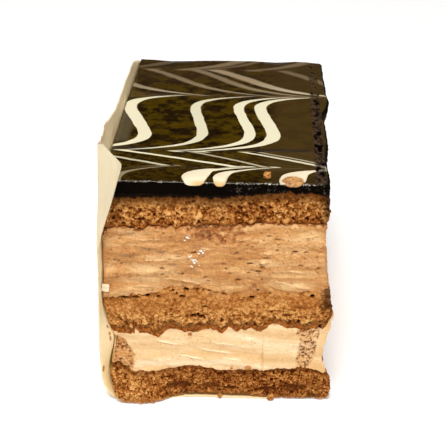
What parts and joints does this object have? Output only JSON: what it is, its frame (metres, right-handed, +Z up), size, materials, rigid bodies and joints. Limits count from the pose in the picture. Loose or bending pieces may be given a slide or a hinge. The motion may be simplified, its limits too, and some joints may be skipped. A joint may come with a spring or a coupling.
{
  "type": "truffle cake slice",
  "caption": "Upright slice of layered truffle cake: cocoa sponge, coffee cream and mousse under a dark glaze with feathered white icing, on bent greaseproof paper.",
  "frame": {"origin": "on the surface that the slice stands on, under the middle of the whole model", "axes": "+Z up; -Y out of the cut front face; +X to the right as seen from the front, away from the standing side of the paper"},
  "size_m": [0.0671, 0.1004, 0.0829],
  "materials": {
    "paper": "greaseproof, slightly translucent",
    "sponge": "dry, open crumb",
    "cream": "satin, smeared",
    "mousse": "satin, smeared, with small holes",
    "glaze": "glossy"
  },
  "bodies": {
    "root": {"paper": "paper", "bottom_sponge": "sponge", "coffee_cream": "cream", "middle_sponge": "sponge", "mousse": "mousse", "top_sponge": "sponge", "glaze": "glaze"}
  },
  "joints": []
}
